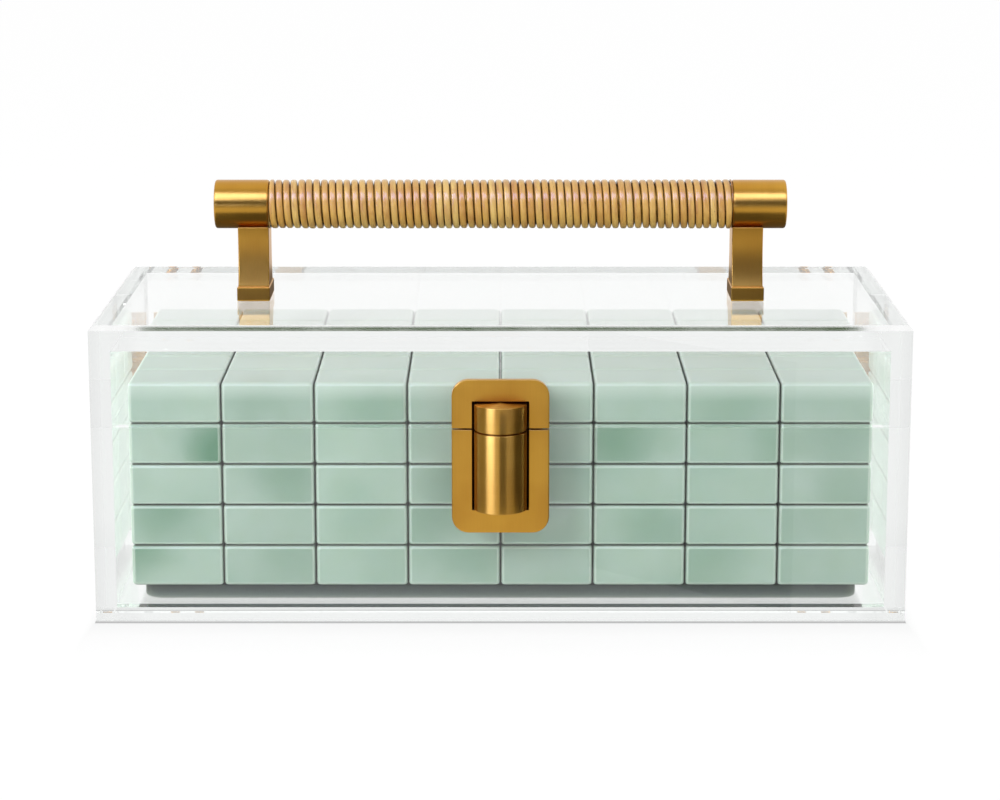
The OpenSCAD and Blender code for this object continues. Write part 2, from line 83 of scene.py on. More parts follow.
POST_FLARE = 2.5
POST_SHOULDER = 1.1
FOOT_HEIGHT = 4.7
PLATE_CORNER = 5.4
WINDOW_WIDTH = 18.0
WINDOW_PLAY = 0.4           # between the barrel's ends and the window
SHADE_PAINT_REACH = 0.02         # how far beside the window a face still gets the painted shade of the recess
BARREL_WALL = 2.1
BARREL_END = 4.0
BARREL_TURN = 60.0          # degrees
BORE_RADIUS = 2.05
SLOT_HEIGHT = 5.8
ARM_HALF_WIDTH = 2.5
SCREW_HEAD_RADIUS = 2.3
KEYHOLE_HALF = (4.6, 1.8)

# Rounded edges in millimetres that are sharp in the CAD
PAD_EDGE = 0.5
POST_EDGE = 0.35
PLATE_EDGE = 0.3
BARREL_EDGE = 0.3

# Looks
BLOCK_PLAY = 0.05           # mm, from the fixed barrel's top down to its block
POST_STEPS = 32
CANE_STEPS = 48             # round each turn
CANE_ACROSS = 12            # across the strip
CANE_CROWN = 3.6            # the power of the strip's rounded section
CANE_SPREAD = 0.75          # draws the section's points towards its edges
CANE_FILL = 0.985           # the strip's share of its pitch
CANE_LEAD_IN = 0.98         # turns over which the strip widens from its first wedge
CANE_EXTRA = 0.96           # turns beyond the full ones
CANE_TAPER = 2.5            # how soon a wedge reaches its full thickness
TILE_ROUNDING = 0.29        # how far a normal at a tile's edge is from all the axes
SPOT_SHIFT = 4.5            # mm, makes up for the mean of the noise that bends the patches
ACRYLIC_IOR = 1.49
WORLD_LIGHT = 0.45
FLOOR_GLOW = 0.93
COOL_WHITE = (0.82, 1.0, 2.5)
CAMERA_PLACE = (0.0, -0.97591, 0.27323)
CAMERA_DOWN = 12.254        # degrees below level
SHADE_RISE = 12.0           # how fast the painted contact shadow fades, per metre of distance
SHADE_BESIDE = 12.0         # how much faster it fades beside the case than in front


# ---- Node trees ----

class Tree:
    """A material's node tree, with short calls to add and join its nodes."""

    def __init__(self, owner):
        owner.use_nodes = True
        self.nodes = owner.node_tree.nodes
        self.links = owner.node_tree.links
        self.nodes.clear()

    def add(self, kind, inputs=(), **settings):
        """A new node. inputs gives a value, or a socket to link, for each input's name or number."""
        node = self.nodes.new("ShaderNode" + kind)
        for key, value in settings.items():
            setattr(node, key, value)
        for key, value in dict(inputs).items():
            if isinstance(value, bpy.types.NodeSocket):
                self.links.new(value, node.inputs[key])
            else:
                node.inputs[key].default_value = value
        return node

    def mix_colour(self, factor, first, second, blend="MIX"):
        colours = {0: factor, 6: first, 7: second}
        return self.add("Mix", colours, data_type="RGBA", blend_type=blend).outputs[2]

    def ramp(self, factor, stops):
        node = self.add("ValToRGB", {"Fac": factor})
        elements = node.color_ramp.elements
        while len(elements) < len(stops):
            elements.new(0.5)
        for element, (place, colour) in zip(elements, stops):
            element.position = place
            element.color = colour
        return node.outputs["Color"]

    def maths(self, operation, first, second=0.0, clamp=False):
        values = {0: first, 1: second}
        return self.add("Math", values, operation=operation, use_clamp=clamp).outputs[0]

    def scaled(self, value, factor):
        return self.maths("MULTIPLY", value, factor)

    def mix_shader(self, factor, first, second):
        return self.add("MixShader", {0: factor, 1: first, 2: second}).outputs[0]

    def attribute(self, name, output="Fac"):
        return self.add("Attribute", attribute_name=name).outputs[output]

    def axes(self, vector):
        return self.add("SeparateXYZ", {"Vector": vector}).outputs

    def noise(self, vector, scale, detail=3.0, roughness=0.5, w=None):
        node = self.add("TexNoise", {
            "Vector": vector, "Scale": scale, "Detail": detail, "Roughness": roughness})
        if w is not None:
            node.noise_dimensions = "4D"
            self.links.new(w, node.inputs["W"])
        return node.outputs["Fac"]

    def stretched(self, vector, scale):
        return self.add("Mapping", {"Vector": vector, "Scale": scale}).outputs["Vector"]

    def place(self):
        return self.add("TexCoord").outputs["Object"]

    def surface(self, shader):
        self.output = self.add("OutputMaterial")
        self.links.new(shader, self.output.inputs["Surface"])


def rgb(red, green, blue):
    """A colour given as it looks on screen, 0 to 255, as a linear one."""
    return tuple((v / 255 / 12.92) if v <= 10 else ((v / 255 + 0.055) / 1.055) ** 2.4
                 for v in (red, green, blue)) + (1.0,)


def grey(value):
    return (value, value, value, 1.0)


# ---- Materials ----

def glass_shader(tree, colour):
    return tree.add("BsdfPrincipled", {
        "Base Color": colour, "Roughness": 0.0, "IOR": ACRYLIC_IOR,
        "Transmission Weight": 1.0}).outputs[0]


def make_acrylic():
    """Cast clear acrylic. Light from lamps and from lit faces goes straight through it. The sawn
    ends of the side walls, at the corners of the front and back, are a little greyer."""
    material = bpy.data.materials.new("clear_acrylic")
    tree = Tree(material)
    haze = tree.noise(tree.place(), 40.0, 2.0)
    tint = tree.ramp(haze, [(0.3, (0.985, 0.99, 0.988, 1)), (0.7, (0.975, 0.982, 0.978, 1))])
    place = tree.axes(tree.place())
    across = tree.ramp(tree.maths("ABSOLUTE", place["X"]), [
        (0.1250, grey(0.0)), (0.1252, grey(1.0))])
    deep = tree.ramp(tree.maths("ABSOLUTE", place["Y"]), [
        (0.0565, grey(0.0)), (0.0568, grey(1.0))])
    wall_ends = tree.maths("MULTIPLY", across, deep)
    glass = glass_shader(tree, tree.mix_colour(wall_ends, tint, grey(0.84)))
    clear = tree.add("BsdfTransparent", {"Color": (0.97, 0.98, 0.975, 1)}).outputs[0]
    path = tree.add("LightPath").outputs
    for_lamps = tree.mix_shader(path["Is Shadow Ray"], glass, clear)
    tree.surface(tree.mix_shader(path["Is Diffuse Ray"], for_lamps, clear))
    body = tree.add("VolumeAbsorption", {"Color": (0.80, 0.82, 0.81, 1), "Density": 4.5})
    tree.links.new(body.outputs[0], tree.output.inputs["Volume"])
    return material


def make_painted_edge():
    """The bevel along the lid's front edge, which gathers the green of the tiles behind it. That green
    is painted on: a diffuse dark green mixed into the glass as a painted reflection of the tiles.
    """
    material = bpy.data.materials.new("painted_edge_tiles")
    tree = Tree(material)
    place = tree.axes(tree.place())
    across = tree.maths("ABSOLUTE", place["X"])
    inside = tree.ramp(across, [(0.112, grey(1.0)), (0.118, grey(0.0))])
    low = tree.ramp(tree.scaled(place["Z"], 10.0), [
        (0.9645, grey(0.8)), (0.9655, grey(1.0)), (0.971, grey(1.0)), (0.9745, grey(0.0))])
    wave = tree.ramp(tree.noise(tree.place(), 60.0, 2.0), [(0.3, grey(0.8)), (0.7, grey(1.0))])
    share = tree.maths("MULTIPLY", tree.maths("MULTIPLY", inside, low), wave)
    glass = glass_shader(tree, (0.98, 0.985, 0.98, 1))
    # painted reflection: a diffuse dark green that stands in for the tiles seen in the bevel
    shade = tree.add("BsdfDiffuse", {"Color": rgb(64, 84, 52)}).outputs[0]
    tree.surface(tree.mix_shader(share, glass, shade))
    return material


def jade_tone(tree, place, own, soft):
    """The stone's cloudy green, with one darker patch in some tiles, and a tone for each tile."""
    seed = tree.scaled(own, 40.0)
    cloud = tree.noise(tree.stretched(place, (1.0, 1.0, 1.3)), 38.0, 2.5, 0.5, seed)
    tone = tree.ramp(cloud, [(0.30, rgb(186, 209, 193)), (0.52, rgb(172, 198, 180)),
                             (0.75, rgb(154, 187, 166))])
    mottled = tree.mix_colour(0.35, tone, tree.ramp(soft, [
        (0.35, rgb(178, 202, 190)), (0.65, rgb(166, 193, 170))]))
    wander = tree.add("TexNoise", {"Vector": place, "Scale": 70.0, "Detail": 2.0})
    widened = tree.add("VectorMath", {
        0: wander.outputs["Color"], 1: (2 * SPOT_SHIFT,) * 3}, operation="MULTIPLY")
    bent = tree.add("VectorMath", {
        0: tree.attribute("inside", "Vector"), 1: widened.outputs[0]}, operation="ADD")
    away = tree.add("VectorMath", {
        0: bent.outputs[0], 1: tree.attribute("spot", "Vector")}, operation="DISTANCE")
    patch = tree.ramp(tree.maths("DIVIDE", away.outputs["Value"], 30.0), [
        (0.12, grey(1.0)), (0.30, grey(0.72)), (0.50, grey(0.25)), (0.72, grey(0.0))])
    dark = tree.maths("MULTIPLY", patch, tree.attribute("spot_strength"), clamp=True)
    colour = tree.mix_colour(dark, mottled, rgb(84, 138, 104))
    shade = tree.maths("ADD", tree.scaled(own, 0.12), 0.90)
    every = tree.add("CombineColor", {0: shade, 1: shade, 2: shade}).outputs[0]
    return tree.mix_colour(1.0, colour, every, "MULTIPLY")


def make_jade():
    """Pale green stone, a little translucent. Each tile carries where its points lie in it, how far
    they face a neighbour, how rounded they are, and one darker patch of its own.
    Painted highlights lighten the rounded edges and the top layer's upper part; painted shade darkens
    what faces a neighbour."""
    material = bpy.data.materials.new("jade_stone")
    tree = Tree(material)
    place = tree.place()
    own = tree.add("NewGeometry").outputs["Random Per Island"]
    soft = tree.noise(place, 90.0, 3.0, 0.55, tree.scaled(own, 40.0))
    toned = jade_tone(tree, place, own, soft)
    # painted highlight: the tiles' rounded edges are lightened, standing in for the sheen on them
    rim = tree.ramp(tree.attribute("rounding"), [
        (0.05, grey(0.0)), (0.28, grey(0.50)), (0.50, grey(0.45)), (0.75, grey(0.3))])
    with_painted_light = tree.mix_colour(rim, toned, rgb(222, 234, 220))
    # painted light: the upper part of the top layer's tiles is lighter, as if lit more from above
    height = tree.axes(tree.attribute("inside", "Vector"))["Z"]
    painted_top_light = tree.ramp(tree.scaled(height, 0.1), [(0.05, grey(0.0)), (0.50, grey(0.45))])
    lit = tree.maths("MULTIPLY", painted_top_light, tree.attribute("top_row"))
    with_painted_light = tree.mix_colour(lit, with_painted_light, rgb(226, 240, 230))
    # painted shade: faces and deep rounding that face a neighbour or the pad turn dark, for the shade
    # in the joints
    painted_seam_shade = tree.ramp(tree.attribute("seam"), [
        (0.66, grey(0.0)), (0.84, grey(0.55)), (0.97, grey(1.0))])
    shaded = tree.mix_colour(painted_seam_shade, with_painted_light, rgb(34, 46, 22))
    bump = tree.add("Bump", {"Strength": 0.05, "Distance": 0.0002, "Height": soft})
    shader = tree.add("BsdfPrincipled", {
        "Base Color": shaded, "Roughness": 0.28, "IOR": 1.5, "Subsurface Weight": 0.10,
        "Subsurface Radius": (0.6, 1.0, 0.75), "Subsurface Scale": 0.002,
        "Normal": bump.outputs[0]})
    tree.surface(shader.outputs[0])
    return material


def make_felt():
    """Dark pressed felt, painted darker at its top as shade under the tiles, and painted paler towards
    its foot as light that comes in under it.
    """
    material = bpy.data.materials.new("dark_felt")
    tree = Tree(material)
    place = tree.place()
    fibres = tree.noise(place, 900.0, 4.0, 0.7)
    height = tree.scaled(tree.axes(place)["Z"], 100.0)
    # painted light and shade: the felt runs from pale at its foot to dark at its top
    level = tree.ramp(height, [(0.47, rgb(150, 158, 146)), (0.58, rgb(96, 106, 92)),
                               (0.72, rgb(60, 70, 56)), (0.95, rgb(34, 48, 34))])
    tone = tree.mix_colour(tree.ramp(fibres, [(0.3, grey(0.0)), (0.7, grey(0.25))]),
                           level, rgb(90, 100, 86))
    bump = tree.add("Bump", {"Strength": 0.6, "Distance": 0.0004, "Height": fibres})
    shader = tree.add("BsdfPrincipled", {
        "Base Color": tone, "Roughness": 0.95, "Sheen Weight": 0.3, "Normal": bump.outputs[0]})
    tree.surface(shader.outputs[0])
    return material


def make_brass(name, grain, light, dark, roughness, turned_about=None):
    """Satin brass. grain stretches the brush marks: small along them and large across.
    A piece turned on a lathe has marks round the axis that turned_about names."""
    material = bpy.data.materials.new(name)
    tree = Tree(material)
    place = tree.place()
    marks = tree.noise(tree.stretched(place, grain), 1.0, 3.0, 0.6)
    patina = tree.noise(place, 60.0, 2.0)
    tone = tree.ramp(patina, [(0.35, dark), (0.65, light)])
    brushed = tree.mix_colour(0.06, tone, tree.ramp(marks, [(0.35, grey(0.3)), (0.65, grey(1.0))]),
                              "MULTIPLY")
    rough = tree.maths("ADD", tree.scaled(marks, 0.08), roughness - 0.04)
    bump = tree.add("Bump", {"Strength": 0.04, "Distance": 0.00003, "Height": marks})
    shader = tree.add("BsdfPrincipled", {
        "Base Color": brushed, "Metallic": 1.0, "Roughness": rough, "Normal": bump.outputs[0]})
    if turned_about:
        shader.inputs["Anisotropic"].default_value = 0.94
        shader.inputs["Anisotropic Rotation"].default_value = 0.25
        tangent = tree.add("Tangent", direction_type="RADIAL", axis=turned_about)
        tree.links.new(tangent.outputs[0], shader.inputs["Tangent"])
    tree.surface(shader.outputs[0])
    return material


def make_cane_material():
    """Peeled cane. The strip carries where each point lies along, across and on which turn."""
    material = bpy.data.materials.new("peeled_cane")
    tree = Tree(material)
    strip = tree.attribute("strip", "Vector")
    fibres = tree.noise(tree.stretched(strip, (70.0, 2600.0, 1.0)), 1.0, 3.0, 0.6)
    blotch = tree.noise(tree.stretched(strip, (90.0, 300.0, 1.0)), 1.0, 3.0, 0.6)
    specks = tree.noise(tree.stretched(strip, (700.0, 1500.0, 1.0)), 1.0, 2.0, 0.5)
    base = tree.ramp(tree.attribute("turn_tone"), [
        (0.0, rgb(228, 190, 108)), (0.45, rgb(218, 170, 84)),
        (0.75, rgb(200, 142, 58)), (1.0, rgb(168, 100, 34))])
    worn = tree.mix_colour(tree.ramp(blotch, [(0.45, grey(0.0)), (0.72, grey(0.65))]),
                           base, rgb(160, 92, 40))
    lined = tree.mix_colour(tree.ramp(fibres, [(0.5, grey(0.0)), (0.8, grey(0.35))]),
                            worn, rgb(136, 78, 34))
    spotted = tree.mix_colour(tree.ramp(specks, [(0.68, grey(0.0)), (0.76, grey(0.7))]),
                              lined, rgb(96, 48, 20))
    # painted shade: the strip darkens towards its edges, for the shade in the grooves between turns
    groove = tree.ramp(tree.attribute("groove"), [(0.70, grey(0.0)), (0.97, grey(0.9))])
    groove_shaded = tree.mix_colour(groove, spotted, rgb(66, 30, 10))
    bump = tree.add("Bump", {"Strength": 0.25, "Distance": 0.0001, "Height": fibres})
    shader = tree.add("BsdfPrincipled", {
        "Base Color": groove_shaded, "Roughness": 0.34, "IOR": 1.45, "Coat Weight": 0.6,
        "Coat Roughness": 0.16, "Normal": bump.outputs[0]})
    tree.surface(shader.outputs[0])
    return material


# ---- Meshes ----

def new_object(name, mesh, material):
    mesh.materials.append(material)
    piece = bpy.data.objects.new(name, mesh)
    bpy.context.scene.collection.objects.link(piece)
    return piece


def mesh_from(name, points, faces):
    mesh = bpy.data.meshes.new(name)
    mesh.from_pydata([tuple(p) for p in points], [], faces)
    mesh.update()
    return mesh


def outward(mesh):
    """Turns all the faces of a closed mesh outwards."""
    shape = bmesh.new()
    shape.from_mesh(mesh)
    bmesh.ops.recalc_face_normals(shape, faces=shape.faces)
    shape.to_mesh(mesh)
    shape.free()
    return mesh


def smooth(mesh, sharp_from=35.0):
    mesh.polygons.foreach_set("use_smooth", [True] * len(mesh.polygons))
    mesh.set_sharp_from_angle(angle=math.radians(sharp_from))
    mesh.update()


def box_mesh(name, low, high):
    xs, ys, zs = zip(low, high)
    corners = [(x, y, z) for x in xs for y in ys for z in zs]
    faces = [(0, 1, 3, 2), (4, 6, 7, 5), (0, 4, 5, 1), (2, 3, 7, 6), (0, 2, 6, 4), (1, 5, 7, 3)]
    return outward(mesh_from(name, corners, faces))


def prism_mesh(name, outline, axis, start, end):
    """A prism along axis 0, 1 or 2 (X, Y or Z). The outline's points have the two other places."""
    count = len(outline)
    points = [(*p[:axis], place, *p[axis:]) for place in (start, end) for p in outline]
    faces = [tuple(range(count)), tuple(range(2 * count - 1, count - 1, -1))]
    faces += [(i, i + count, (i + 1) % count + count, (i + 1) % count) for i in range(count)]
    return outward(mesh_from(name, points, faces))


def joined(mesh, other):
    """Adds another mesh's faces to a mesh."""
    shape = bmesh.new()
    shape.from_mesh(mesh)
    shape.from_mesh(other)
    shape.to_mesh(mesh)
    shape.free()
    return mesh


def lathe_mesh(name, profile, centre, axis, steps=96):
    """A solid turned about X (0) or Z (2). The profile's points are (radius, along)."""
    points, faces, rings = [], [], []
    for radius, along in profile:
        if radius <= 0:
            rings.append([len(points)])
            points.append(turned(centre, axis, 0.0, 0.0, along))
            continue
        rings.append(list(range(len(points), len(points) + steps)))
        for i in range(steps):
            points.append(turned(centre, axis, 2 * math.pi * i / steps, radius, along))
    for first, second in zip(rings, rings[1:]):
        for i in range(steps):
            j = (i + 1) % steps
            face = [first[i % len(first)], first[j % len(first)],
                    second[j % len(second)], second[i % len(second)]]
            faces.append(tuple(dict.fromkeys(face)))
    return outward(mesh_from(name, points, faces))


def turned(centre, axis, angle, radius, along):
    """The point at an angle and radius about axis 0 (X) or 2 (Z) through the centre."""
    first, second = radius * math.cos(angle), radius * math.sin(angle)
    if axis == 0:
        return (centre[0] + along, centre[1] + first, centre[2] + second)
    return (centre[0] + first, centre[1] + second, centre[2] + along)


def arc(centre, radius, start, end, steps):
    """Points on an arc, from one angle to another in degrees."""
    return [(centre[0] + radius * math.cos(math.radians(start + (end - start) * i / steps)),
             centre[1] + radius * math.sin(math.radians(start + (end - start) * i / steps)))
            for i in range(steps + 1)]


def rounded_outline(low, high, radius, steps=8):
    (x0, z0), (x1, z1) = low, high
    return (arc((x1 - radius, z0 + radius), radius, -90, 0, steps)
            + arc((x1 - radius, z1 - radius), radius, 0, 90, steps)
            + arc((x0 + radius, z1 - radius), radius, 90, 180, steps)
            + arc((x0 + radius, z0 + radius), radius, 180, 270, steps))


def rounded_profile(radius, length, edge, steps):
    """The profile of a solid cylinder with rounded rims, from one end to the other."""
    first = [(radius - edge + x, edge + y) for x, y in arc((0, 0), edge, -90, 0, steps)]
    last = [(radius - edge + x, length - edge + y) for x, y in arc((0, 0), edge, 0, 90, steps)]
    return [(0, 0)] + first + last + [(0, length)]


def bevel_piece(piece, width, segments=3, angle=40.0):
    """Rounds a piece's edges with a modifier, and shades it smooth."""
    smooth(piece.data, angle)
    modifier = piece.modifiers.new("edges", "BEVEL")
    modifier.width = width
    modifier.segments = segments
    modifier.limit_method = "ANGLE"
    modifier.angle_limit = math.radians(angle)
    modifier.harden_normals = True


def settle(piece):
    """Puts the result of a piece's modifiers into its mesh."""
    graph = bpy.context.evaluated_depsgraph_get()
    made = bpy.data.meshes.new_from_object(piece.evaluated_get(graph))
    piece.modifiers.clear()
    piece.data = made


def cut_out(piece, cutters):
    """Cuts each of the closed meshes out of a piece."""
    for mesh in cutters:
        cutter = bpy.data.objects.new("cutter", mesh)
        bpy.context.scene.collection.objects.link(cutter)
        modifier = piece.modifiers.new("cut", "BOOLEAN")
        modifier.operation = "DIFFERENCE"
        modifier.solver = "EXACT"
        modifier.object = cutter
        settle(piece)
        bpy.data.objects.remove(cutter)


def declare(piece, body, slot, *nodes):
    """Puts a piece on the body that it rides on, and hides the CAD nodes that it replaces. slot is not
    used.
    """
    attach(piece, body)
    if nodes:
        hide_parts(*nodes)
    return piece


def box_of(*nodes):
    """The box round several CAD nodes."""
    boxes = [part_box(n) for n in nodes]
    low = Vector([min(b[0][i] for b in boxes) for i in range(3)])
    high = Vector([max(b[1][i] for b in boxes) for i in range(3)])
    return low, high


# ---- The clear box ----

def bevel_edges(mesh, width, keep):
    """Bevels the edges for which keep says yes, from the two ends of each."""
    shape = bmesh.new()
    shape.from_mesh(mesh)
    edges = [e for e in shape.edges if keep(e.verts[0].co, e.verts[1].co)]
    bmesh.ops.bevel(shape, geom=edges, offset=width, segments=1, affect="EDGES", profile=0.5)
    shape.to_mesh(mesh)
    shape.free()
    return mesh


def clear_block(name, low, high):
    """A block whose sides stand back by SKIN."""
    return box_mesh(name, low + Vector((SKIN, SKIN, 0)), high - Vector((SKIN, SKIN, 0)))


def lid_block(name, low, high):
    """A block whose sides stand back by SKIN, with bevels round its top, a steeper one at the back."""
    low, high = low + Vector((SKIN, SKIN, 0)), high - Vector((SKIN, SKIN, 0))
    bevel, back = LID_BEVEL * MM, BACK_BEVEL * MM
    rings = [(low, high, low.z), (low, high, high.z - bevel),
             (low + Vector((bevel, bevel, 0)), high - Vector((bevel, back, 0)), high.z)]
    points = [(x, y, z) for a, b, z in rings
              for x, y in ((a.x, a.y), (b.x, a.y), (b.x, b.y), (a.x, b.y))]
    faces = [(3, 2, 1, 0), (8, 9, 10, 11)]
    faces += [(4 * r + i, 4 * r + (i + 1) % 4, 4 * r + 4 + (i + 1) % 4, 4 * r + 4 + i)
              for r in (0, 1) for i in range(4)]
    return mesh_from(name, points, faces)


def inner_box(walls, floor_z, roof_z):
    """The space between four walls named front, back, left and right."""
    front, back, left, right = (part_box(w) for w in walls)
    low = Vector((left[1].x - SKIN, front[1].y - SKIN, floor_z))
    high = Vector((right[0].x + SKIN, back[0].y + SKIN, roof_z))
    return low, high


def latch_gap(wall, low_z, high_z):
    """The space that the latch goes through in a front wall."""
    low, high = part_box(wall)
    half = WINDOW_WIDTH / 2 * MM + SKIN
    return box_mesh("gap", (-half, low.y - MM, low_z), (half, high.y + MM, high_z))


def paint_gap_shade(piece, material, index):
    """The sides of the latch's gap are painted dark, as the shade in its recess."""
    piece.data.materials.append(material)
    half = WINDOW_WIDTH / 2 * MM + 2 * SKIN
    front, inner = -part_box("lid_top")[1].y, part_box("lid_front_wall")[1].y
    foot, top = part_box("latch_barrel")[0].z - MM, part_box("latch_fixed_barrel")[1].z + MM
    for face in piece.data.polygons:
        x, y, z = face.center
        in_gap = abs(x) <= half and front < y < inner and foot < z < top
        if in_gap and abs(face.normal.y) < 0.5:
            face.material_index = index


def window_foot():
    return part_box("latch_barrel")[0].z - WINDOW_PLAY * MM


def window_top():
    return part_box("latch_fixed_barrel")[1].z + WINDOW_PLAY * MM


def make_lid_shell(material, painted_edge_material, painted_shade_material):
    """The lid's top and walls, bonded so that no joint shows."""
    walls = ["lid_front_wall", "lid_back_wall", "lid_left_wall", "lid_right_wall"]
    low, high = box_of("lid_top", *walls)
    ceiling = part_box("lid_top")[0].z + SKIN
    low, high = low - Vector((0, 0, RIM_CREEP * MM)), high - Vector((0, 0, SKIN))
    piece = new_object("lid_shell", lid_block("lid_shell", low, high), material)
    cavity = box_mesh("cavity", *inner_box(walls, low.z - MM, ceiling))
    cut_out(piece, [cavity, latch_gap("lid_front_wall", low.z - MM, window_top())])
    piece.data.materials.append(painted_edge_material)
    # the front bevel's faces get the painted reflection of the tiles
    for face in piece.data.polygons:
        if face.normal.y < -0.6 and face.normal.z > 0.6:
            face.material_index = 1
    paint_gap_shade(piece, painted_shade_material, 2)
    return declare(piece, "lid", "clear_acrylic", "lid_top", *walls)


def make_base_shell(material, painted_shade_material):
    """The base's four walls, bonded so that no joint shows."""
    walls = ["base_front_wall", "base_back_wall", "base_left_wall", "base_right_wall"]
    low, high = box_of(*walls)
    low, high = low + Vector((0, 0, SHELL_SEAM * MM)), high + Vector((0, 0, RIM_CREEP * MM))
    piece = new_object("base_shell", clear_block("base_shell", low, high), material)
    cavity = box_mesh("cavity", *inner_box(walls, low.z - MM, high.z + MM))
    cut_out(piece, [cavity, latch_gap("base_front_wall", window_foot(), high.z + MM)])
    paint_gap_shade(piece, painted_shade_material, 1)
    return declare(piece, "base", "clear_acrylic", *walls)


def make_base_plate(material):
    low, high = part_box("base_floor")
    low, high = low + Vector((0, 0, SKIN)), high - Vector((0, 0, SKIN))
    mesh = clear_block("base_plate", low, high)
    bevel_edges(mesh, BASE_BEVEL * MM, lambda a, b: max(a.z, b.z) < low.z + SKIN)
    return declare(new_object("base_plate", mesh, material), "base", "clear_acrylic", "base_floor")


# ---- The tiles and their pad ----

DARK_SPOTS = {  # (layer from the bottom, column from the left): strength, x, z, in the front row
    (4, 1): (0.95, 15, -3), (1, 1): (0.7, -15, 9), (2, 1): (0.6, -4, 7), (4, 6): (0.6, -8, 3),
    (5, 3): (0.45, 4, 0), (3, 2): (0.45, 6, 6), (1, 4): (0.5, 4, 8), (2, 4): (0.45, -6, 7),
    (3, 4): (0.4, 0, 0), (2, 6): (0.4, 5, -4), (4, 8): (0.35, 2, 2), (4, 7): (0.4, 16, 0),
    (5, 7): (0.3, 2, 0), (1, 2): (0.3, 10, 6), (3, 8): (0.3, 8, -4), (1, 7): (0.3, -6, 4),
}


def tile_template():
    """One tile centred on the origin: its points, their normals and its faces."""
    half = Vector(TILE_SIZE) * MM / 2 - Vector((SKIN, SKIN, SKIN))
    radius = TILE_EDGE * MM
    shape = bmesh.new()
    bmesh.ops.create_cube(shape, size=1.0)
    for vertex in shape.verts:
        vertex.co = Vector(2 * c * h for c, h in zip(vertex.co, half))
    bmesh.ops.bevel(shape, geom=shape.edges[:], offset=radius, segments=6, affect="EDGES", profile=0.5)
    inner = half - Vector((radius, radius, radius))
    points, normals = [], []
    for vertex in shape.verts:
        core = Vector(max(-i, min(i, c)) for c, i in zip(vertex.co, inner))
        normal = (vertex.co - core).normalized()
        points.append(core + normal * radius)
        normals.append(normal)
    faces = [tuple(v.index for v in f.verts) for f in shape.faces]
    shape.free()
    return points, normals, faces


def facing_neighbours(normal, ways):
    """How far a normal faces one of the ways in which a tile has a neighbour."""
    return max([0.0] + [normal[axis] * sign for axis, sign in ways])


def neighbour_ways(column, row, layer):
    """The ways, as (axis, sign), in which a tile touches another one or the pad."""
    ways = [(2, -1)]
    ways += [(0, -1)] * (column > 0) + [(0, 1)] * (column < TILE_COLUMNS - 1)
    ways += [(1, -1)] * (row > 0) + [(1, 1)] * (row < TILE_ROWS - 1)
    return ways + [(2, 1)] * (layer < TILE_LAYERS)


def give_attribute(mesh, name, values):
    """Stores a number or a vector for each point of a mesh."""
    if isinstance(values[0], float):
        attribute = mesh.attributes.new(name, "FLOAT", "POINT")
        attribute.data.foreach_set("value", values)
    else:
        attribute = mesh.attributes.new(name, "FLOAT_VECTOR", "POINT")
        attribute.data.foreach_set("vector", [c for v in values for c in v])


def dark_patch(draw, layer, row, column):
    """A tile's darker patch: its strength, and where it lies in the tile's front face."""
    strength = max(0.0, draw.uniform(-0.35, 0.30))
    x, z = draw.uniform(-16, 16), draw.uniform(-8, 8)
    if row == 0 and (layer, column + 1) in DARK_SPOTS:
        strength, x, z = DARK_SPOTS[layer, column + 1]
    return float(strength), (x + SPOT_SHIFT, -TILE_SIZE[1] / 2 + SPOT_SHIFT, z + SPOT_SHIFT)


def make_tiles(material):
    """Five layers of tiles, each layer one piece."""
    points, normals, faces = tile_template()
    count = len(points)
    pitch = [(TILE_SIZE[0] + TILE_PLAY) * MM, (TILE_SIZE[1] + TILE_PLAY) * MM]
    half = Vector(TILE_SIZE) * MM / 2
    rounding = [min(1.0, (1.0 - max(abs(c) for c in n)) / TILE_ROUNDING) for n in normals]
    draw = random.Random(20)
    grid = [(row, column) for row in range(TILE_ROWS) for column in range(TILE_COLUMNS)]
    for layer in range(1, TILE_LAYERS + 1):
        name = f"tiles_{layer}"
        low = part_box(f"tile_layer_{layer}")[0]
        places, corners, seams, spots, strengths = [], [], [], [], []
        for row, column in grid:
            strength, spot = dark_patch(draw, layer, row, column)
            middle = low + half + Vector((column * pitch[0], row * pitch[1], 0))
            corners += [tuple(len(places) + i for i in f) for f in faces]
            places += [middle + p for p in points]
            ways = neighbour_ways(column, row, layer)
            seams += [facing_neighbours(n, ways) for n in normals]
            spots += [spot] * count
            strengths += [strength] * count
        mesh = mesh_from(name, places, corners)
        mesh.polygons.foreach_set("use_smooth", [True] * len(mesh.polygons))
        mesh.normals_split_custom_set_from_vertices(normals * len(grid))
        give_attribute(mesh, "seam", seams)
        give_attribute(mesh, "rounding", rounding * len(grid))
        give_attribute(mesh, "inside", [p / MM for p in points] * len(grid))
        give_attribute(mesh, "spot", spots)
        give_attribute(mesh, "spot_strength", strengths)
        give_attribute(mesh, "top_row", [float(layer == TILE_LAYERS)] * len(places))
        declare(new_object(name, mesh, material), "base", "green_stone", f"tile_layer_{layer}")


def make_pad(material):
    low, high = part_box("tile_pad")
    outline = rounded_outline((low.x, low.y), (high.x, high.y), PAD_CORNER * MM)
    mesh = prism_mesh("felt_pad", outline, 2, low.z, high.z - SKIN)
    piece = new_object("felt_pad", mesh, material)
    bevel_piece(piece, PAD_EDGE * MM)
    return declare(piece, "base", "felt_pad", "tile_pad")


# ---- The handle ----

def post_outline(middle_y, bottom, top, waist_z):
    """The outline of a waisted post, (Y, Z), hollowed on each side by an arc about the waist."""
    curve, least, most = POST_CURVE * MM, POST_WAIST / 2 * MM, (POST_WAIST / 2 + POST_FLARE) * MM

    def reach(z):
        inside = max(curve ** 2 - (z - waist_z) ** 2, 0.0)
        return min(least + curve - math.sqrt(inside), most)
    heights = [bottom + (top - bottom) * i / POST_STEPS for i in range(POST_STEPS + 1)]
    outline = [(middle_y - reach(z), z) for z in heights]
    return outline + [(middle_y + reach(z), z) for z in reversed(heights)]


